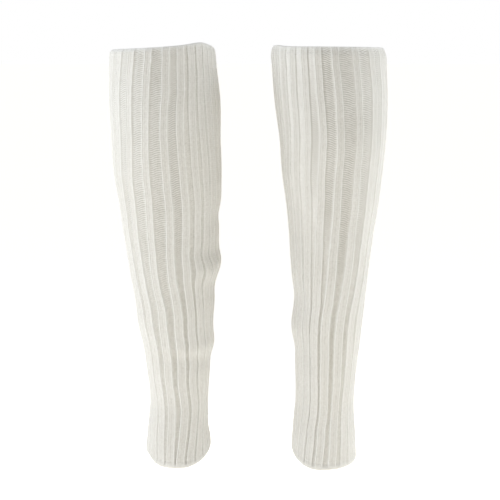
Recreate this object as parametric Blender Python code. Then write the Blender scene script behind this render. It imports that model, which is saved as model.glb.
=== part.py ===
"""A pair of long rib-knit leg warmers, open at the top and at the ankle.

Each leg warmer is a tube of wide rib knit with a narrow welt at each end, and keeps the hollow form
that it has when worn. Left and right are as seen from the front. The model is in metres, +Z up, with
its front towards -Y. The origin lies midway between the two, at the height of their top edges.
"""

import math
from collections import namedtuple

import bmesh
import bpy

# Driving sizes, in millimetres
MM = 0.001
LENGTH = 530.0  # from the top edge to the hem at the side of the leg
RIBS = 24
RIB_MOST = 0.74  # of the pitch that a rib takes, where the ribs close up
RIB_FLANK = 1.1
RIB_RELIEF = 1.9
WALL = 2.0  # of the knit at the floor between two ribs
TOP_WELT = 7.0
HEM_WELT = 7.5
WELT_WALL = 3.2
SEAM_GAP = 0.3
TOP_WAVE = 60.0  # how far down the uneven top edge still tilts the rows of the knit
HEM_WAVE = 120.0  # and how far up the hem does

# Colours of the cream yarn, and how dull it is
KNIT_COLOUR = (0.80, 0.77, 0.69)
TOP_COLOUR = (0.78, 0.75, 0.67)
HEM_COLOUR = (0.82, 0.79, 0.71)
YARN_ROUGHNESS = 0.95

# Heights at which the tube has a ring of points, closer together where the knit is creased
RING_ROWS = (
    40, 75, 110, 145, 180, 205, 222, 242, 263, 284, 302, 320, 341, 364, 388, 413, 445, 480, 505,
)

# A section at a distance down the leg: how far its outer and inner sides stand from the plane between
# the two leg warmers, and its front and back from the plane through the origin
Section = namedtuple("Section", "down outer inner front back")
LEFT_SECTIONS = (
    Section(0, 174.0, 44.5, 69, 71),
    Section(10, 180.0, 42.0, 72, 74),
    Section(25, 180.3, 41.0, 72, 74),
    Section(70, 180.8, 36.3, 72, 72),
    Section(120, 178.2, 35.7, 70, 68),
    Section(165, 176.0, 34.9, 64, 70),
    Section(205, 170.0, 36.0, 59, 74),
    Section(240, 165.2, 38.4, 55, 73),
    Section(275, 159.8, 39.4, 53, 69),
    Section(305, 155.0, 41.6, 52, 63),
    Section(335, 149.5, 44.4, 51, 58),
    Section(365, 146.0, 47.0, 50, 54),
    Section(395, 138.9, 48.6, 49, 51),
    Section(425, 135.0, 50.8, 48.5, 50),
    Section(465, 130.8, 53.7, 49, 50.5),
    Section(495, 133.8, 53.7, 54, 51),
    Section(530, 137.0, 51.2, 62, 52),
)
RIGHT_SECTIONS = (
    Section(0, 174.6, 31.0, 69, 71),
    Section(10, 178.2, 29.0, 72, 74),
    Section(25, 179.0, 30.0, 72, 74),
    Section(70, 180.7, 33.5, 72, 72),
    Section(120, 179.2, 40.0, 70, 68),
    Section(165, 175.2, 43.8, 64, 70),
    Section(205, 171.0, 49.3, 59, 74),
    Section(240, 165.7, 53.0, 55, 73),
    Section(275, 161.0, 55.2, 53, 69),
    Section(305, 157.0, 57.5, 52, 63),
    Section(335, 153.8, 59.6, 51, 58),
    Section(365, 150.5, 59.2, 50, 54),
    Section(395, 147.0, 60.6, 49, 51),
    Section(425, 143.3, 62.0, 48.5, 50),
    Section(468, 140.4, 62.6, 49, 50.5),
    Section(495, 142.4, 59.7, 54, 51),
    Section(530, 144.0, 57.0, 62, 52),
)

# Angles round the leg run from the front, at 0, towards the inner side, at 90, and on to the back.
# How far down an edge of the knit lies at an angle: the top edge stands up at the inner front of the
# left one, and both hems fall over the instep and rise behind the heel
Edge = namedtuple("Edge", "turn down")
LEFT_TOP = (
    Edge(-90, 5.5), Edge(-60, 5.0), Edge(-30, 4.0), Edge(0, 2.2), Edge(22, -0.6),
    Edge(46, -5.8), Edge(66, -0.8), Edge(95, 4.0), Edge(180, 6.0),
)
LEFT_HEM = (
    Edge(-90, 533.0), Edge(-63, 535.5), Edge(-43, 542.5), Edge(-25, 545.0), Edge(0, 545.5),
    Edge(22, 545.0), Edge(50, 540.0), Edge(90, 529.0), Edge(180, 520.0),
)
RIGHT_TOP = (
    Edge(-90, 4.0), Edge(-60, 2.8), Edge(0, 1.8), Edge(45, 1.4), Edge(72, 0.0),
    Edge(100, 2.5), Edge(180, 6.0),
)
RIGHT_HEM = (
    Edge(-90, 543.0), Edge(-56, 546.0), Edge(0, 548.0), Edge(26, 548.0), Edge(50, 543.5),
    Edge(72, 537.0), Edge(90, 531.0), Edge(180, 521.0),
)

# The fan of the ribs at a distance down the leg: the angles of four floors between ribs, the third
# on the outer side, the middle one, and the third and sixth on the inner side, and a rib's full width
Fan = namedtuple("Fan", "down outer middle inner far rib")
FAN_FLOORS = (-3, 0, 3, 6)
LEFT_FAN = (
    Fan(15, -41, 16.2, 50.6, 79, 10.5),
    Fan(40, -44, 15, 49.6, 78.5, 10.5),
    Fan(60, -45, 13.5, 47.5, 77, 10.5),
    Fan(85, -46, 10.8, 48.5, 79, 10.5),
    Fan(135, -49, 10, 52, 83, 10.5),
    Fan(215, -53, 13, 55, 86, 10.5),
    Fan(295, -54, 11, 57, 90, 11.0),
    Fan(354, -50, 19, 64, 97, 12.0),
    Fan(430, -48, 21, 71, 111, 12.0),
    Fan(468, -44, 26, 78, 118, 11.5),
    Fan(520, -38, 17, 70, 112, 11.5),
)
RIGHT_FAN = (
    Fan(20, -53.5, 5.8, 48, 87, 10.0),
    Fan(45, -55, 5.2, 49, 88, 10.0),
    Fan(85, -55.5, 4.6, 49.5, 90, 10.0),
    Fan(135, -56, 5, 54, 92, 10.2),
    Fan(215, -56, 9, 59, 97, 11.0),
    Fan(295, -57, 13, 61, 101, 12.5),
    Fan(354, -50, 18, 61, 104, 12.5),
    Fan(430, -52, 17, 62, 105, 12.0),
    Fan(468, -47, 17, 65, 108, 11.5),
    Fan(520, -44, 24, 70, 112, 11.5),
)

# A soft fold: where its middle is, how far it stands out, and its half height and half width
Fold = namedtuple("Fold", "down turn push tall wide")
LEFT_FOLDS = (
    Fold(220, 88, -2.4, 9, 32),
    Fold(284, 82, 4.4, 12, 36),
    Fold(316, 92, -2.0, 10, 34),
    Fold(389, 78, 2.8, 12, 34),
    Fold(522, 86, 1.6, 8, 26),
    Fold(117, 176, -2.6, 13, 42),
    Fold(398, 184, 2.4, 14, 46),
    Fold(444, 170, -1.8, 12, 44),
)
RIGHT_FOLDS = (
    Fold(324, 84, -1.4, 10, 32),
    Fold(366, 86, 2.4, 13, 36),
    Fold(399, 90, -1.4, 9, 34),
    Fold(124, 186, -2.4, 13, 44),
    Fold(388, 174, 2.2, 14, 46),
    Fold(440, 190, -2.0, 12, 42),
)

# One leg warmer: hand is -1 on the left and 1 on the right
Leg = namedtuple("Leg", "name hand sections top hem fan folds")
LEGS = (
    Leg("left", -1, LEFT_SECTIONS, LEFT_TOP, LEFT_HEM, LEFT_FAN, LEFT_FOLDS),
    Leg("right", 1, RIGHT_SECTIONS, RIGHT_TOP, RIGHT_HEM, RIGHT_FAN, RIGHT_FOLDS),
)

# A welt's cross-section, as shares of its height from the free edge and of its wall from outside
WELT_PROFILE = (
    (1.00, 0.05), (0.45, 0.00), (0.12, 0.16), (0.00, 0.50), (0.12, 0.84), (0.45, 1.00), (1.00, 1.00),
)
WELT_INSET = 0.4  # the welt's face lies this far inside the ribs' faces


def on_curve(places, values, at):
    """The value at a place on a smooth curve through the given values."""
    last = len(places) - 1
    at = min(max(at, places[0]), places[last])
    low = max(i for i in range(last) if places[i] <= at)
    slopes = []
    for i in (low, low + 1):
        before, after = max(i - 1, 0), min(i + 1, last)
        slopes.append((values[after] - values[before]) / (places[after] - places[before]))
    span = places[low + 1] - places[low]
    s = (at - places[low]) / span
    return (
        values[low] * (1 + 2 * s) * (1 - s) ** 2
        + slopes[0] * span * s * (1 - s) ** 2
        + values[low + 1] * s * s * (3 - 2 * s)
        - slopes[1] * span * s * s * (1 - s)
    )


def in_table(rows, column, down):
    """A column of a table whose rows go down the leg, read at any distance down."""
    return on_curve([row.down for row in rows], [getattr(row, column) for row in rows], down)


def edge_at(rows, turn):
    """How far down an edge lies at an angle round the leg."""
    turns = [row.turn for row in rows]
    downs = [row.down for row in rows]
    turns = [turns[-2] - 360, turns[-1] - 360, *turns, turns[0] + 360]
    downs = [*downs[-2:], *downs, downs[0]]
    return on_curve(turns, downs, (turn + 180) % 360 - 180)


def faded(share):
    """1 at no distance, falling smoothly to 0 at the full distance."""
    share = min(max(share, 0.0), 1.0)
    return (1 + 2 * share) * (1 - share) ** 2


def oval_at(leg, down):
    """The middle of the leg warmer's oval section, across and back, and its half width and half depth."""
    outer, inner, front, back = (
        in_table(leg.sections, column, down) for column in ("outer", "inner", "front", "back")
    )
    return (outer + inner) / 2, (back - front) / 2, (outer - inner) / 2, (front + back) / 2


def fold_push(leg, down, turn):
    """How far the folds carry the wall outwards."""
    push = 0.0
    for fold in leg.folds:
        round_by = (turn - fold.turn + 180) % 360 - 180
        push += fold.push * math.exp(
            -(((down - fold.down) / fold.tall) ** 2) / 2 - (round_by / fold.wide) ** 2 / 2
        )
    return push


def wall_point(leg, down, turn, inset):
    """A point of the wall, set in from the ribs' faces by inset."""
    middle_x, middle_y, half_width, half_depth = oval_at(leg, down)
    angle = math.radians(turn)
    across, ahead = math.sin(angle) / half_width, math.cos(angle) / half_depth
    steep = math.hypot(across, ahead)
    out = fold_push(leg, down, turn) - inset
    inwards = half_width * math.sin(angle) + out * across / steep
    forwards = half_depth * math.cos(angle) + out * ahead / steep
    below = down + edge_at(leg.top, turn) * faded(down / TOP_WAVE)
    below += (edge_at(leg.hem, turn) - LENGTH) * faded((LENGTH - down) / HEM_WAVE)
    return leg.hand * (middle_x - inwards) * MM, (middle_y - forwards) * MM, -below * MM


def floor_angles(leg, down):
    """The angles of the middles of the floors between the ribs, in order round the leg."""
    known = [in_table(leg.fan, column, down) for column in ("outer", "middle", "inner", "far")]
    places = [FAN_FLOORS[-2] - RIBS, FAN_FLOORS[-1] - RIBS, *FAN_FLOORS]
    places += [FAN_FLOORS[0] + RIBS, FAN_FLOORS[1] + RIBS]
    values = [known[-2] - 360, known[-1] - 360] + known + [known[0] + 360, known[1] + 360]
    return [on_curve(places, values, FAN_FLOORS[0] + k) for k in range(RIBS + 1)]


def rib_columns(leg, down):
    """For each rib, its four outer corners, each an angle and an inset, and then, in one list for all
    the ribs, the angles of the floor before a rib and of its centre.
    """
    floors = floor_angles(leg, down)
    half_width, half_depth = oval_at(leg, down)[2:]
    full = in_table(leg.fan, "rib", down)
    ribs, plain = [], []
    for this, after in zip(floors, floors[1:]):
        centre = (this + after) / 2
        angle = math.radians(centre)
        per_degree = math.radians(math.hypot(half_width * math.cos(angle), half_depth * math.sin(angle)))
        pitch = (after - this) * per_degree
        foot = min(full, RIB_MOST * pitch) / 2 / per_degree
        face = foot - RIB_FLANK / per_degree
        ribs.append(
            (
                (centre - foot, RIB_RELIEF),
                (centre - face, 0.0),
                (centre + face, 0.0),
                (centre + foot, RIB_RELIEF),
            )
        )
        plain += [this, centre]
    return ribs, plain


def finish_object(name, shape, colour):
    """Make an object of a bmesh, with its own material."""
    bmesh.ops.recalc_face_normals(shape, faces=shape.faces)
    mesh = bpy.data.meshes.new(name)
    shape.to_mesh(mesh)
    shape.free()
    material = bpy.data.materials.new(name)
    material.use_nodes = True
    surface = material.node_tree.nodes["Principled BSDF"]
    surface.inputs["Base Color"].default_value = (*colour, 1.0)
    surface.inputs["Roughness"].default_value = YARN_ROUGHNESS
    surface.inputs["Metallic"].default_value = 0.0
    mesh.materials.append(material)
    made = bpy.data.objects.new(name, mesh)
    bpy.context.scene.collection.objects.link(made)
    return made


def make_knit(leg):
    """The rib-knit tube: ribs raised on its outside, over a plain inside."""
    shape = bmesh.new()
    first, last = TOP_WELT + SEAM_GAP, LENGTH - HEM_WELT - SEAM_GAP
    outside, inside = [], []
    for down in (first, *RING_ROWS, last):
        ribs, plain = rib_columns(leg, down)
        corners = [corner for rib in ribs for corner in rib]
        outside.append([shape.verts.new(wall_point(leg, down, *corner)) for corner in corners])
        inset = RIB_RELIEF + WALL
        inside.append([shape.verts.new(wall_point(leg, down, turn, inset)) for turn in plain])

    for rings in (outside, inside):
        for upper, lower in zip(rings, rings[1:]):
            for i in range(len(upper)):
                shape.faces.new((upper[i - 1], upper[i], lower[i], lower[i - 1]))
    for ribbed, plain in ((outside[0], inside[0]), (outside[-1], inside[-1])):
        for k in range(RIBS):
            foot, face, far_face, far_foot = ribbed[4 * k : 4 * k + 4]
            floor, middle, next_floor = plain[2 * k], plain[2 * k + 1], plain[(2 * k + 2) % len(plain)]
            shape.faces.new((ribbed[4 * k - 1], foot, floor))
            shape.faces.new((foot, face, middle, floor))
            shape.faces.new((face, far_face, middle))
            shape.faces.new((far_face, far_foot, next_floor, middle))
    return finish_object(f"{leg.name}_knit", shape, KNIT_COLOUR)


def make_welt(leg, name, edge, seam, colour):
    """A narrow plain band between the free edge and the seam, rounded over at its free edge."""
    shape = bmesh.new()
    columns = []
    for turn in rib_columns(leg, seam)[1]:
        columns.append(
            [
                shape.verts.new(
                    wall_point(leg, edge + (seam - edge) * high, turn, WELT_INSET + WELT_WALL * deep)
                )
                for high, deep in WELT_PROFILE
            ]
        )
    for here, there in zip(columns, columns[1:] + columns[:1]):
        for i in range(len(WELT_PROFILE)):
            shape.faces.new((here[i - 1], here[i], there[i], there[i - 1]))
    return finish_object(f"{leg.name}_{name}", shape, colour)


for old in list(bpy.data.objects):
    bpy.data.objects.remove(old)

for leg_warmer in LEGS:
    make_welt(leg_warmer, "top_welt", 0.0, TOP_WELT, TOP_COLOUR)
    make_knit(leg_warmer)
    make_welt(leg_warmer, "ankle_welt", LENGTH, LENGTH - HEM_WELT, HEM_COLOUR)
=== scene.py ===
"""The looks of a pair of long leg warmers in cream rib knit, open at the knee and at the ankle.

Both are hollow and keep the shape that they have when worn. Left and right are as seen from the front.
The file follows the knitting: the cloth's plain inside, its ribs and floors, the cast-on edge at the knee
and the cast-off edge at the ankle.
"""
import math
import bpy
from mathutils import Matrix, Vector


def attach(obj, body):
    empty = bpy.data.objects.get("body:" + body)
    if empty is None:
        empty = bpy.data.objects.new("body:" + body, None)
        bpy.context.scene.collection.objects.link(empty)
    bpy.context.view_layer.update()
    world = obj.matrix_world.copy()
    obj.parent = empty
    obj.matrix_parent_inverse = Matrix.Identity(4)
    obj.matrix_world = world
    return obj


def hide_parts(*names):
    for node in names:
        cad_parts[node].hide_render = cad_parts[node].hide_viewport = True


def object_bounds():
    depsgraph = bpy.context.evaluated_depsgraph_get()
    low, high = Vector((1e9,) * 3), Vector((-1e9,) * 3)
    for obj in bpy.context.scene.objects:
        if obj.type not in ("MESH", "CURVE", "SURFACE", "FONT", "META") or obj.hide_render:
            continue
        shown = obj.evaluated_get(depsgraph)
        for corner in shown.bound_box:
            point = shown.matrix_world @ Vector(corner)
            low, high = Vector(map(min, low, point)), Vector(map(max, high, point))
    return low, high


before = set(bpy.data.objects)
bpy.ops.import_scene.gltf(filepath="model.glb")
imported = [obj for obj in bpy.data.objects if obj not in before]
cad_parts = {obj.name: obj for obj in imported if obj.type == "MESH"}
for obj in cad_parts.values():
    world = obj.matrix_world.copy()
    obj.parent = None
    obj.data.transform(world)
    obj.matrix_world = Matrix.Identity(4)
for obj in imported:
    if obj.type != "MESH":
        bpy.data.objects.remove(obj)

from types import SimpleNamespace

import bmesh
import bpy
import numpy as np
from mathutils import Vector

cad_box = [list(corner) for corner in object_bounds()]

# The studio
# A wide floor that glows white, as a light table does, under a white sky, with a soft box at each side.
# The camera stands level with the knees and looks a little down through a long lens.

CAMERA_PLACE = (0.002, -1.9, 0.0)
CAMERA_DOWN = 8
FLOOR_DROP = 0.25
FLOOR_REACH = 60
FLOOR_GLOW = 0.66
GLOW_COLOUR = (1, 0.972, 0.918, 1)
SKY_LIGHT = 0.42
SKY_COLOUR = (0.975, 0.98, 0.985, 1)
SIDE_COLOUR = (0.835, 0.905, 1.0)

eye = bpy.data.cameras.new("camera")
eye.lens = 105
eye.sensor_width = 36
camera = bpy.data.objects.new("camera", eye)
camera.location = CAMERA_PLACE
camera.rotation_euler = (math.radians(90 - CAMERA_DOWN), 0, 0)
bpy.context.scene.collection.objects.link(camera)
bpy.context.scene.camera = camera
bpy.context.scene.view_settings.view_transform = "Standard"

slab = bmesh.new()
bmesh.ops.create_grid(slab, x_segments=1, y_segments=1, size=FLOOR_REACH)
bmesh.ops.translate(slab, verts=slab.verts, vec=(0, 0, cad_box[0][2] - FLOOR_DROP))
floor_mesh = bpy.data.meshes.new("floor")
slab.to_mesh(floor_mesh)
slab.free()
paint = bpy.data.materials.new("white_floor")
paint.use_nodes = True
white = paint.node_tree.nodes["Principled BSDF"].inputs
white["Base Color"].default_value = (0.93, 0.93, 0.92, 1)
white["Roughness"].default_value = 0.9
white["Emission Color"].default_value = GLOW_COLOUR
white["Emission Strength"].default_value = FLOOR_GLOW
floor_mesh.materials.append(paint)
studio_floor = bpy.data.objects.new("studio_floor", floor_mesh)
bpy.context.scene.collection.objects.link(studio_floor)

sky = bpy.data.worlds.new("white_sky")
bpy.context.scene.world = sky
sky.use_nodes = True
seen = sky.node_tree.nodes["Background"]
seen.inputs["Color"].default_value = (1, 1, 1, 1)
lighting = sky.node_tree.nodes.new("ShaderNodeBackground")
lighting.inputs["Color"].default_value = SKY_COLOUR
lighting.inputs["Strength"].default_value = SKY_LIGHT
ray = sky.node_tree.nodes.new("ShaderNodeLightPath")
choice = sky.node_tree.nodes.new("ShaderNodeMixShader")
sky.node_tree.links.new(ray.outputs["Is Camera Ray"], choice.inputs["Fac"])
sky.node_tree.links.new(lighting.outputs["Background"], choice.inputs[1])
sky.node_tree.links.new(seen.outputs["Background"], choice.inputs[2])
sky.node_tree.links.new(choice.outputs["Shader"], sky.node_tree.nodes["World Output"].inputs["Surface"])


def soft_box(name, place, aim, size, watts, colour):
    """A square area lamp at a place, turned to face its aim."""
    lamp = bpy.data.lights.new(name, "AREA")
    lamp.shape = "SQUARE"
    lamp.size = size
    lamp.energy = watts
    lamp.color = colour
    box = bpy.data.objects.new(name, lamp)
    box.visible_camera = False
    box.location = place
    box.rotation_euler = (Vector(aim) - Vector(place)).to_track_quat("-Z", "Y").to_euler()
    bpy.context.scene.collection.objects.link(box)


soft_box("left_soft_box", (-1.1, -0.28, 0.3), (0, 0, 0), 1.0, 9.4, SIDE_COLOUR)
soft_box("right_soft_box", (1.2, 0.02, 0.38), (0, 0, 0), 1.0, 9.0, SIDE_COLOUR)
soft_box("low_left_soft_box", (-0.5, -0.4, -0.66), (0.06, 0, -0.47), 0.25, 0.5, (1.0, 0.96, 0.88))
soft_box("low_right_soft_box", (0.45, -0.45, -0.66), (-0.06, 0, -0.47), 0.25, 0.6, (1.0, 0.96, 0.86))
soft_box("back_soft_box", (0, 1.2, -0.3), (0, 0, -0.3), 1.0, 5, (1.0, 0.98, 0.93))

# The cloth's plain inside
# Each leg warmer is knitted all round as one tube in soft cream wool yarn, and keeps the shape that a leg
# gives it. This is the back of that cloth, crossed by low bars of yarn.

MM = 0.001
LENGTH = 530
CLOTH = 3.9  # from a rib's face through to the inside
TOP_WAVE = 60  # how far down the uneven top edge still tilts the rows
HEM_WAVE = 120  # and how far up the hem does
INSIDE_COLUMNS = 72
INSIDE_ROWS = 90
INSIDE_TUCK = 3  # how far it reaches into the edges at its top and bottom
COURSES = 184  # rows of stitches down the leg
WALES = 192  # columns of stitches round it
WELD = 1e-6
CLOTH_MAP = "OFBake"
INSIDE_SHADE = 0.6  # painted shade over all of the inside, as a tube's inside is shaded
INSIDE_BARS = 1.2
BAR_BEND = 1.5  # how far a bar waves up and down across the stitches, in radians of its own wave
# A tone, from the painted shade of a hole at 0 to the lightest yarn at 1, and its colour; the low olive
# stops are painted shade
YARN_AND_SHADE_TONES = (
    (0.0, (0.38, 0.36, 0.30)),
    (0.4, (0.67, 0.647, 0.59)),
    (0.7, (0.83, 0.815, 0.768)),
    (1.0, (0.93, 0.925, 0.89)),
)
LEAST_TONE = 0.44  # the tone of a point without painted shade
PATCH_TONE = 0.14  # how much lighter a wide patch can be
LOOP_TONE = 0.34  # how much lighter a single loop can be
PAINTED_SHADE_STRENGTH = 0.62  # how much darker painted shade makes the colour, for each 1 of painted shading
LOOP_HEIGHT = 0.5  # how high the loops stand in the bump, beside the fibres at 1
LEAST_ROUGH = 0.8
FIBRE_ROUGH = 0.25

# Each leg, in millimetres and degrees
# sides: how far down, then how far the outer and inner sides, front and back stand from the pair's middle
# top, hem: an angle round the leg, 0 in front and 90 at the inner side, and how far down the edge lies
# fan: how far down, the angles of the middles of floors -3, 0, 3 and 6, and a rib's full width
# folds: how far down, where round the leg, how far out, half height and half width
# sways: the same, but how far towards the inner side the ribs bend there
# relief: how far down, and the share of the ribs' relief that stretching leaves there
# closed: how far down, and the painted shade of a closed floor there
legs = (
    SimpleNamespace(
        name="left",
        hand=-1,
        sides=(
            (0, 175.5, 44.0, 69, 71), (4, 179.0, 42.8, 71, 73), (10, 180.0, 42.0, 72, 74),
            (25, 180.3, 41.0, 72, 74), (70, 180.8, 36.3, 72, 72), (120, 178.2, 35.7, 70, 68),
            (165, 176.0, 34.9, 64, 70), (205, 170.0, 36.0, 59, 74), (240, 165.2, 38.4, 55, 73),
            (275, 159.8, 39.4, 53, 69), (305, 155.0, 41.6, 52, 63), (335, 149.5, 44.4, 51, 58),
            (365, 146.0, 47.0, 50, 54), (395, 138.9, 48.6, 49, 51), (425, 135.0, 50.8, 48.5, 50),
            (465, 130.8, 53.7, 49, 50.5), (495, 133.8, 53.7, 54, 51), (530, 137.0, 51.2, 62, 52),
        ),
        top=(
            (-90, 5.5), (-60, 5.0), (-30, 4.0), (0, 2.2), (22, 0.2), (50, -3.4), (66, -0.8), (95, 4.0),
            (180, 6.0),
        ),
        hem=(
            (-90, 533), (-63, 535.5), (-43, 542.5), (-25, 545), (0, 545.5), (22, 545), (50, 540),
            (90, 529), (180, 520),
        ),
        fan=(
            (15, -41, 16.2, 50.6, 79, 10.5), (40, -44, 15, 49.6, 78.5, 10.5),
            (60, -45, 13.5, 47.5, 77, 10.5), (85, -46, 10.8, 48.5, 79, 10.5),
            (135, -49, 10, 52, 83, 10.5), (215, -53, 13, 55, 86, 10.5), (295, -54, 11, 57, 90, 11.0),
            (354, -50, 19, 64, 97, 12.0), (430, -48, 21, 71, 111, 12.0), (468, -44, 26, 78, 118, 11.5),
            (520, -38, 17, 70, 112, 11.5),
        ),
        folds=(
            (220, 88, -2.4, 9, 32), (282, 86, 3.8, 11, 30), (292, 56, 2.2, 8, 18), (267, 56, -1.8, 8, 20),
            (316, 92, -2.0, 10, 34), (389, 78, 2.8, 12, 34), (410, 74, -1.6, 9, 26),
            (392, 14, 0.9, 7, 30), (404, 18, -1.1, 7, 32), (522, 86, 1.6, 8, 26),
            (117, 176, -2.6, 13, 42), (398, 184, 2.4, 14, 46), (444, 170, -1.8, 12, 44),
        ),
        sways=(
            (269, 58, -1.4, 7, 24), (290, 58, 2.6, 8, 24), (395, 62, -0.8, 6, 30), (411, 60, 2.2, 8, 34),
        ),
        relief=((140, 0.85), (300, 1)),
        closed=((150, 0.46), (370, 0.74), (500, 0.5)),
    ),
    SimpleNamespace(
        name="right",
        hand=1,
        sides=(
            (0, 174.6, 31.0, 69, 71), (10, 178.2, 29.0, 72, 74), (25, 179.0, 30.0, 72, 74),
            (70, 180.7, 33.5, 72, 72), (120, 179.2, 40.0, 70, 68), (165, 175.2, 43.8, 64, 70),
            (205, 171.0, 49.3, 59, 74), (240, 165.7, 53.0, 55, 73), (275, 161.0, 55.2, 53, 69),
            (305, 157.0, 57.5, 52, 63), (335, 153.8, 59.6, 51, 58), (365, 150.5, 59.2, 50, 54),
            (395, 147.0, 60.6, 49, 51), (425, 143.3, 62.0, 48.5, 50), (468, 140.4, 62.6, 49, 50.5),
            (495, 142.4, 59.7, 54, 51), (530, 144.0, 57.0, 62, 52),
        ),
        top=((-90, 4.0), (-60, 2.8), (0, 1.8), (45, 1.4), (72, 0.0), (100, 2.5), (180, 6.0)),
        hem=((-90, 543), (-56, 546), (0, 548), (26, 548), (50, 543.5), (72, 537), (90, 531), (180, 521)),
        fan=(
            (20, -53.5, 5.8, 48, 87, 10.0), (45, -55, 5.2, 49, 88, 10.0),
            (85, -55.5, 4.6, 49.5, 90, 10.0), (135, -56, 5, 54, 92, 10.2), (215, -56, 9, 59, 97, 11.0),
            (295, -57, 13, 61, 101, 12.5), (354, -50, 18, 61, 104, 12.5), (430, -52, 17, 62, 105, 12.0),
            (468, -47, 17, 65, 108, 11.5), (520, -44, 24, 70, 112, 11.5),
        ),
        folds=(
            (324, 84, -1.4, 10, 32), (366, 86, 2.4, 13, 36), (399, 90, -1.4, 9, 34),
            (124, 186, -2.4, 13, 44), (388, 174, 2.2, 14, 46), (440, 190, -2.0, 12, 42),
        ),
        sways=((484, 18, 1.6, 6, 18), (300, 60, 0.9, 12, 24), (210, -30, -0.8, 26, 30)),
        relief=((140, 0.62), (300, 1)),
        closed=((150, 0.1), (370, 0.74), (500, 0.5)),
    ),
)


def on_curve(places, values, at):
    """Where a smooth curve through the values lies, at many places at once."""
    places, values = np.asarray(places, float), np.asarray(values, float)
    number = np.arange(len(places))
    before, after = np.maximum(number - 1, 0), np.minimum(number + 1, len(places) - 1)
    slopes = (values[after] - values[before]) / (places[after] - places[before])
    at = np.clip(at, places[0], places[-1])
    low = np.clip(np.searchsorted(places, at, side="right") - 1, 0, len(places) - 2)
    span = places[low + 1] - places[low]
    s = (at - places[low]) / span
    return (
        values[low] * (1 + 2 * s) * (1 - s) ** 2
        + slopes[low] * span * s * (1 - s) ** 2
        + values[low + 1] * s * s * (3 - 2 * s)
        - slopes[low + 1] * span * s * s * (1 - s)
    )


def columns_at(rows, down):
    """Each column of a table after its first, at any distance down the leg."""
    places, *columns = zip(*rows)
    return [on_curve(places, column, down) for column in columns]


def edge_at(rows, turn):
    """How far down the top edge or the hem lies at an angle round the leg."""
    turns, downs = np.array(rows).T
    turns = np.concatenate([turns[-2:] - 360, turns, turns[:1] + 360])
    downs = np.concatenate([downs[-2:], downs, downs[:1]])
    return on_curve(turns, downs, (turn + 180) % 360 - 180)


def faded(share):
    """1 at no distance, falling smoothly to 0 at the full distance."""
    share = np.clip(share, 0, 1)
    return (1 + 2 * share) * (1 - share) ** 2


def hills(rows, down, turn):
    """Smooth hills added up, each with its middle down and round the leg, its height and half sizes."""
    total = 0
    for middle, facing, high, tall, wide in rows:
        round_by = (turn - facing + 180) % 360 - 180
        total = total + high * np.exp(-(((down - middle) / tall) ** 2 + (round_by / wide) ** 2) / 2)
    return total


def worn(leg, down, turn, inset):
    """Where worn cloth lies, in metres, from how far down, round and in from a rib's face it is."""
    outer, inner, front, back = columns_at(leg.sides, down)
    half_width, half_depth = (outer - inner) / 2, (front + back) / 2
    angle = np.radians(turn)
    across, ahead = np.sin(angle) / half_width, np.cos(angle) / half_depth
    out = (hills(leg.folds, down, turn) - inset) / np.hypot(across, ahead)
    x = (outer + inner) / 2 - half_width * np.sin(angle) - out * across
    y = (back - front) / 2 - half_depth * np.cos(angle) - out * ahead
    below = down + edge_at(leg.top, turn) * faded(down / TOP_WAVE)
    below = below + (edge_at(leg.hem, turn) - LENGTH) * faded((LENGTH - down) / HEM_WAVE)
    return np.stack([leg.hand * x, y, -below], axis=-1) * MM


def knit(name, leg, places, deep, material, facing_in=False):
    """A grid of cloth whose points take the given places, with rows down the leg and columns round it.
    Points that meet are joined, as where a tube closes. The painted shading gives each point's painted
    shade, with painted highlight where it is below 0.
    """
    rows, columns = deep.shape[0] - 1, deep.shape[1] - 1
    cloth = bmesh.new()
    cloth.loops.layers.uv.new(CLOTH_MAP)
    # Each point keeps its painted shading: painted shade in hollows, painted highlight on raised yarn
    shade = cloth.verts.layers.float.new("deep")
    bmesh.ops.create_grid(cloth, x_segments=columns, y_segments=rows, size=1, calc_uvs=True)
    places, deep = places.tolist(), deep.tolist()
    for vert in cloth.verts:
        row, column = round((1 - vert.co.y) / 2 * rows), round((1 + vert.co.x) / 2 * columns)
        vert.co = places[row][column]
        vert[shade] = deep[row][column]
    bmesh.ops.remove_doubles(cloth, verts=cloth.verts, dist=WELD)
    if (leg.hand < 0) != facing_in:
        bmesh.ops.reverse_faces(cloth, faces=cloth.faces)
    mesh = bpy.data.meshes.new(name)
    cloth.to_mesh(mesh)
    cloth.free()
    mesh.shade_smooth()
    mesh.materials.append(material)
    piece = bpy.data.objects.new(name, mesh)
    bpy.context.scene.collection.objects.link(piece)
    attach(piece, "root")
    return piece


class Dye:
    """A socket in a material, on which sums work as Math nodes."""

    def __init__(self, tree, socket=None):
        self.tree = tree
        self.socket = socket

    def node(self, kind, settings=None, values=None, output=0):
        """Add a node, set its settings first and its sockets next, and return one of its outputs."""
        made = self.tree.nodes.new(kind)
        for name, value in (settings or {}).items():
            if name == "stops":
                for place, colour in value[1:-1]:
                    made.color_ramp.elements.new(place)
                for stop, (place, colour) in zip(made.color_ramp.elements, value):
                    stop.position = place
                    stop.color = (*colour, 1)
            else:
                setattr(made, name, value)
        for name, value in (values or {}).items():
            if isinstance(value, Dye):
                self.tree.links.new(value.socket, made.inputs[name])
            else:
                made.inputs[name].default_value = value
        return Dye(self.tree, made.outputs[output])

    def math(self, operation, *values):
        """A Math node."""
        return self.node("ShaderNodeMath", {"operation": operation}, dict(enumerate(values)))

    def __add__(self, other):
        return self.math("ADD", self, other)

    def __sub__(self, other):
        return self.math("SUBTRACT", self, other)

    def __rsub__(self, other):
        return self.math("SUBTRACT", other, self)

    def __mul__(self, other):
        return self.math("MULTIPLY", self, other)

    __radd__ = __add__
    __rmul__ = __mul__


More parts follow.
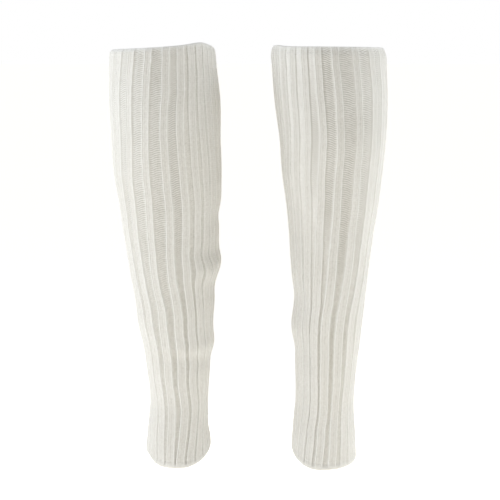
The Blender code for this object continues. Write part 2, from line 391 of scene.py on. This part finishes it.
def wool(name, bars=0.0):
    """Dull cream wool yarn. Its tone wanders a little from loop to loop, and painted shade darkens it
    where the cloth lies further in, in grooves, holes and floors.
    Bars are the purl bars of a plain face, raised on it by so much.
    """
    material = bpy.data.materials.new(name)
    material.use_nodes = True
    surface = material.node_tree.nodes["Principled BSDF"]
    dye = Dye(material.node_tree)
    place = dye.node("ShaderNodeTexCoord", output="Object")
    # The painted shading of each point, as stored on the mesh
    deep = dye.node("ShaderNodeAttribute", {"attribute_name": "deep"}, output="Fac")
    patches = dye.node("ShaderNodeTexNoise", {}, {"Vector": place, "Scale": 14, "Detail": 2})
    loops = dye.node("ShaderNodeTexNoise", {}, {"Vector": place, "Scale": 420, "Detail": 2})
    fibres = dye.node("ShaderNodeTexNoise", {}, {"Vector": place, "Scale": 1500, "Detail": 3})
    # The yarn's own tone, which wanders at random, darkened by painted shade and lightened by painted
    # highlight
    tone = LEAST_TONE + PATCH_TONE * patches + LOOP_TONE * loops - PAINTED_SHADE_STRENGTH * deep
    colour = dye.node("ShaderNodeValToRGB", {"stops": YARN_AND_SHADE_TONES}, {"Fac": tone})
    height = fibres + LOOP_HEIGHT * loops
    if bars:
        map_place = dye.node("ShaderNodeUVMap", {"uv_map": CLOTH_MAP})
        u = dye.node("ShaderNodeSeparateXYZ", {}, {"Vector": map_place}, "X")
        v = dye.node("ShaderNodeSeparateXYZ", {}, {"Vector": map_place}, "Y")
        bend = BAR_BEND * dye.math("SINE", u * (WALES * math.tau))
        height = height + bars * dye.math("SINE", v * (COURSES * math.tau) + bend)
    bump = dye.node(
        "ShaderNodeBump", {}, {"Strength": 0.6, "Distance": 0.0004, "Height": height}, "Normal"
    )
    rough = LEAST_ROUGH + FIBRE_ROUGH * fibres
    for socket, value in (("Base Color", colour), ("Roughness", rough), ("Normal", bump)):
        dye.tree.links.new(value.socket, surface.inputs[socket])
    surface.inputs["Specular IOR Level"].default_value = 0.25
    surface.inputs["Sheen Weight"].default_value = 0.6
    surface.inputs["Sheen Roughness"].default_value = 0.5
    surface.inputs["Sheen Tint"].default_value = (1.0, 0.98, 0.94, 1)
    return material


inside_wool = wool("cream_wool_inside", bars=INSIDE_BARS)
for leg in legs:
    down = np.linspace(INSIDE_TUCK, LENGTH - INSIDE_TUCK, INSIDE_ROWS + 1)[:, None]
    turn = np.linspace(-180, 180, INSIDE_COLUMNS + 1)[None, :]
    down, turn = np.broadcast_arrays(down, turn)
    places = worn(leg, down, turn, CLOTH)
    # The inside is painted with an even shade
    deep = np.full(down.shape, INSIDE_SHADE)
    leg.inside = knit(f"{leg.name}_inside", leg, places, deep, inside_wool, facing_in=True)
    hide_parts(f"{leg.name}_knit")

# The ribs and the floors between them
# The outside of the same cloth: 24 ribs, each four knit stitches wide, and floors of purl stitches that
# open where the cloth is stretched and close where it isn't. Each leg's is in three pieces, which meet
# at the feet of ribs.

RIBS = 24
TOP_EDGE = 7.0
HEM_EDGE = 7.5
EDGE_LAP = 1.0  # how far the ribs reach under the edges
FIRST_FLOOR = -5  # the floor where the front piece begins, at the outer side
RIB_PIECES = (("front", 10), ("inner", 7), ("outer", 7))
RIB_MOST = 0.88  # of the pitch that a rib takes, where the ribs close up
RIB_RELIEF = 1.9
RIB_COLUMNS = 16
FLOOR_COLUMNS = 4
WALE_EDGES = (-1, -0.62, 0, 0.62, 1)  # in half widths of the rib
# From a rib's middle to its foot, in half widths: how far in it lies, and its painted shade there:
# painted highlight on the raised edge wales, painted shade in the corner at its foot
RIB_FACE = (
    (0, 0.45, 0.22), (0.5, 0.35, 0.2), (0.8, -0.2, -0.04), (0.9, 0.15, 0.0), (1, RIB_RELIEF, 0.36),
)
STEEP = 0.36  # how far a knit stitch's arms climb on each side of its middle, in courses
# Where a column of points runs in a knit stitch: its share of the width, its climb, its groove, and how
# much of the groove between two rows shows there
KNIT_COLUMNS = ((0, -STEEP, 0.6, 0.3), (0.25, 0, 0, 1), (0.5, STEEP, 0.2, 0.6), (0.75, 0, 0, 1))
ROW_GROOVE = 0.38
PURL_WAVE = 0.1  # how far a purl row waves, in courses
PURL_STANDS = 0.42  # how far a purl loop stands out of its floor, and the hole under it lies back
PURL_CLOSED = 0.3  # the share of that which shows where a floor is closed
FLOOR_OPEN = (7.0, 10.4)  # widths of a closed floor and of a fully open one
FOOT_SHADE_EASES = 0.2  # the share by which the painted shade at a rib's foot eases beside a closed floor
OPEN_FLOOR_SHADES = ((150, 0.48), (260, 0.66), (400, 0.6))  # how far down the leg, and the painted shade of an open floor
LOOPS_SHOW = ((200, 1), (290, 0.3))  # how far down, and the share of its loops that an open floor shows
HOLE_SHADE = 0.5  # how much painted shade a point gets for each millimetre that it lies further in
OPEN_HOLE_SHADE = 9.0  # more painted shade in the holes where a floor is open, for a floor a millimetre wide
PATCHES = 84  # how far down the leg it is from one patch of darker painted shade in open holes to the next
PATCHY = 0.35  # half the share of their painted shade that such holes lose between patches
WANDERS = ((190, 0.35), (83, 0.22), (37, 0.12))  # a wave's length down a rib, and how far it bends it
ROWS_STRAIGHTEN = 5  # how far from the ribs' ends the rows begin to run straight
LAP_IN = 0.5  # how far in the ribs lie at their ends, under the edges
LAP_FADES = 2  # and how far from their ends that fades
LOOSE = 0.06  # how much one stitch stands out from the next

rng = np.random.default_rng(24)


def rib_stitches():
    """Every column of points over one rib and the floor after it: its place, how far in it lies, its
    painted shade and highlight, how far down the stitches bend it, and how far in its even and odd points
    lie below that.
    """
    faces, depths, tones = zip(*RIB_FACE)
    columns = []
    for near, far in zip(WALE_EDGES, WALE_EDGES[1:]):
        for share, rise, groove, row in KNIT_COLUMNS:
            place = near + (far - near) * share
            lies = float(on_curve(faces, depths, abs(place)))
            tone = float(on_curve(faces, tones, abs(place)))
            face = abs(place) < 1
            columns.append((place, lies, tone, rise * face, groove * face, groove + ROW_GROOVE * row))
    for number in range(FLOOR_COLUMNS):
        place = number / FLOOR_COLUMNS
        side = (-1) ** number
        stands = PURL_STANDS * side * (number > 0)
        # The floor's first column is the rib's foot and takes its painted shade
        tone = 0 if number else RIB_FACE[-1][-1]
        columns.append((place, RIB_RELIEF, tone, -PURL_WAVE * side, stands, -stands))
    return np.array(columns).T


def rib_feet(leg, down):
    """The angles where each rib begins and ends, with a row for each distance down the leg, and the width
    of a degree there.
    """
    outer, middle, inner, far, wide = columns_at(leg.fan, down)
    number = (3 - RIBS, 6 - RIBS, -3, 0, 3, 6, RIBS - 3, RIBS)
    known = np.stack([inner - 360, far - 360, outer, middle, inner, far, outer + 360, middle + 360])
    wanted = FIRST_FLOOR + np.arange(RIBS + 1)
    floors = known.T @ np.stack([on_curve(number, one, wanted) for one in np.eye(len(number))])
    centre = (floors[:, :-1] + floors[:, 1:]) / 2
    outer, inner, front, back = columns_at(leg.sides, down[:, None])
    sideways = (outer - inner) / 2 * np.cos(np.radians(centre))
    ahead = (front + back) / 2 * np.sin(np.radians(centre))
    per_degree = np.radians(np.hypot(sideways, ahead))
    half = np.minimum(wide[:, None], RIB_MOST * np.diff(floors) * per_degree) / 2
    bend = hills(leg.sways, down[:, None], centre)
    for length, most in WANDERS:
        bend = bend + most * np.sin(down[:, None] / length * math.tau + rng.uniform(0, math.tau, RIBS))
    return centre + (bend - half) / per_degree, centre + (bend + half) / per_degree, per_degree


def round_again(ribs):
    """Values for every rib's columns in one row each, with the first column's once more at the end."""
    row = ribs.reshape(len(ribs), -1)
    return np.hstack([row, row[:, :1]])


def stitch_points(leg):
    """Work out every point of the cloth's outside: where round the leg it is, how far in it lies, and
    its painted shade and highlight.
    """
    rows = 2 * COURSES
    odd = (np.arange(rows + 1) % 2)[:, None, None]
    down = np.linspace(TOP_EDGE - EDGE_LAP, LENGTH - HEM_EDGE + EDGE_LAP, rows + 1)
    begins, ends, per_degree = rib_feet(leg, down)
    after = np.hstack([begins[:, 1:], begins[:, :1] + 360])
    place, lies, tone, rise, even_groove, odd_groove = rib_stitches()
    on_rib = (begins + ends)[..., None] / 2 + (ends - begins)[..., None] / 2 * place[:RIB_COLUMNS]
    on_floor = ends[..., None] + (after - ends)[..., None] * place[RIB_COLUMNS:]
    narrow, wide = FLOOR_OPEN
    width = ((after - ends) * per_degree)[..., None]
    opened = np.clip((width - narrow) / (wide - narrow), 0, 1)
    purl = np.arange(RIB_COLUMNS + FLOOR_COLUMNS) > RIB_COLUMNS
    loops = opened * np.interp(down, *zip(*LOOPS_SHOW))[:, None, None]
    shows = np.where(purl, PURL_CLOSED + (1 - PURL_CLOSED) * loops, 1)
    loose = rng.normal(0, LOOSE, (COURSES + 1, *shows.shape[1:])).repeat(2, axis=0)[: rows + 1]
    leg.down = down[:, None]
    leg.turn = round_again(np.concatenate([on_rib, on_floor], axis=2))
    leg.turn[:, -1] += 360
    flattens = np.interp(down, *zip(*leg.relief))[:, None, None]
    leg.lies = round_again(np.broadcast_to(lies * flattens, shows.shape))
    grooves = np.where(odd, odd_groove, even_groove)
    leg.hole = round_again(grooves * shows + loose)
    leg.rise = round_again(np.broadcast_to(rise, shows.shape))
    # Painted shade in the open holes of the floors, patchy down the leg
    gapes = loops * purl
    wave = np.sin(down[:, None] / PATCHES * math.tau + rng.uniform(0, math.tau, RIBS))
    patchy = 1 - PATCHY + PATCHY * wave
    gap_shade = OPEN_HOLE_SHADE / np.maximum(width, narrow) * patchy[..., None] * grooves
    # Painted shade in the floors between the ribs, closed and open, and at the ribs' feet
    closed = np.interp(down, *zip(*leg.closed))[:, None, None]
    floor_shade = closed * (1 - opened) + np.interp(down, *zip(*OPEN_FLOOR_SHADES))[:, None, None] * opened
    foot = (lies == RIB_RELIEF) & ~purl
    rib_shade = tone * (1 - FOOT_SHADE_EASES * foot * (1 - opened))
    # A point's painted shade and highlight, with more painted shade wherever it lies further in
    leg.deep = round_again(rib_shade + floor_shade * purl + gapes * gap_shade) + HOLE_SHADE * leg.hole


rib_wool = wool("cream_wool_ribs")
for leg in legs:
    stitch_points(leg)
    from_ends = np.minimum(leg.down - leg.down[0], leg.down[-1] - leg.down)
    course = (leg.down[-1] - leg.down[0]) / COURSES
    bent = leg.down + leg.rise * course * (1 - faded(from_ends / ROWS_STRAIGHTEN))
    lapped = LAP_IN * faded(from_ends / LAP_FADES)
    places = worn(leg, bent, leg.turn, leg.lies + leg.hole + lapped)
    leg.ribs = []
    points = 0
    for side, count in RIB_PIECES:
        wide = slice(points, points + count * (RIB_COLUMNS + FLOOR_COLUMNS) + 1)
        points = wide.stop - 1
        name = f"{leg.name}_ribs_{side}"
        piece = knit(name, leg, places[:, wide], leg.deep[:, wide], rib_wool)
        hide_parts(f"{leg.name}_knit")
        leg.ribs.append(piece)

# The cast-on edge at the knee and the cast-off edge at the ankle
# The ribs run on into both edges and flatten there, where the cloth rolls over to the inside. A row of
# loops lies along each rim, where the yarn was cast on or off.

EDGE_WALL = 3.3
RIBS_THIN = 0.3  # the share by which the wall is thinner where it takes up the ribs
OUTSIDE = 0.8  # the share of the wall within which it does
RIM_LOOPS = 144  # all round the rim
RIM_LOOP = 0.3  # how far one stands out
RIM_REACH = 0.45  # how far the loops reach on each side of the wall's middle, as a share of the wall
LOOP_LEAN = 1.1  # how far each ring's loops lie round from the last one's, in radians of their own wave
LOOP_HIGHLIGHT = 0.5  # how much painted highlight a rim loop gets for each millimetre that it stands out
HEM_RIM_SHADE = 0.34  # the painted shade on the hem's rim
TOP_FLATTENS = (0.9, -0.4)  # shares of the edge's height from which and to which its ribs flatten
HEM_FLATTENS = (0.95, 0.35)
# From the seam on the outside over the rim to the seam inside: a share of the edge's height, a share of
# its wall, and how much of the stitches shows there
ROLL = (
    (1.15, 0.25, 1), (1.0, 0.03, 1), (0.8, 0.0, 1), (0.6, 0.0, 1), (0.42, 0.02, 0.9), (0.25, 0.08, 0.7),
    (0.11, 0.2, 0.4), (0.0, 0.42, 0.1), (0.0, 0.64, 0), (0.1, 0.84, 0), (0.3, 0.97, 0), (0.6, 1.0, 0),
    (1.0, 1.0, 0),
)


def rolled_edge(leg, name, node, rim, seam, row, flattens, rim_shade, material):
    """A ring of cloth from its rim to its seam, where it takes up the ribs of that row. They flatten from
    one share of the height to another, and the rim has its own painted shade.
    """
    high, thick, shows = np.array(ROLL + ROLL[:1]).T[:, :, None]
    odd = np.arange(len(high))[:, None] % 2
    turn = leg.turn[row][None, :]
    down, turn = np.broadcast_arrays(rim + (seam - rim) * high, turn)
    begins, ends = flattens
    relief = 1 - faded((high - ends) / (begins - ends))
    rib_depth = leg.lies[row] * relief * (thick < OUTSIDE)
    near = 1 if row == 0 else -2
    stitch = np.where(odd, leg.hole[row], leg.hole[near]) * shows
    # The ribs' painted shade and highlight carry on into the edge and fade where the ribs flatten
    tone = np.where(odd, leg.deep[row], leg.deep[near]) * shows * relief
    loop = RIM_LOOP * np.sin(np.radians(turn) * RIM_LOOPS + LOOP_LEAN * np.arange(len(high))[:, None])
    loop = loop * (np.abs(thick - 0.5) < RIM_REACH)
    wall = EDGE_WALL * thick * (1 - RIBS_THIN * relief * (thick < OUTSIDE))
    inset = rib_depth + stitch * relief + wall - loop
    # Painted shade grows towards the inside of the roll and on the hem's rim, and the rim loops get
    # painted highlight
    deep = tone + INSIDE_SHADE * thick**2 - LOOP_HIGHLIGHT * loop + rim_shade * (1 - relief) * (1 - thick)
    places = worn(leg, down, turn, inset)
    piece = knit(f"{leg.name}_{name}", leg, places, deep, material, facing_in=rim > seam)
    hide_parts(f"{leg.name}_{node}")
    return piece


top_wool = wool("cream_wool_cast_on")
hem_wool = wool("cream_wool_cast_off")
hem_seam = LENGTH - HEM_EDGE
for leg in legs:
    edges = [
        rolled_edge(leg, "cast_on_edge", "top_welt", 0, TOP_EDGE, 0, TOP_FLATTENS, 0, top_wool),
        rolled_edge(
            leg, "cast_off_edge", "ankle_welt", LENGTH, hem_seam, -1, HEM_FLATTENS, HEM_RIM_SHADE, hem_wool
        ),
    ]
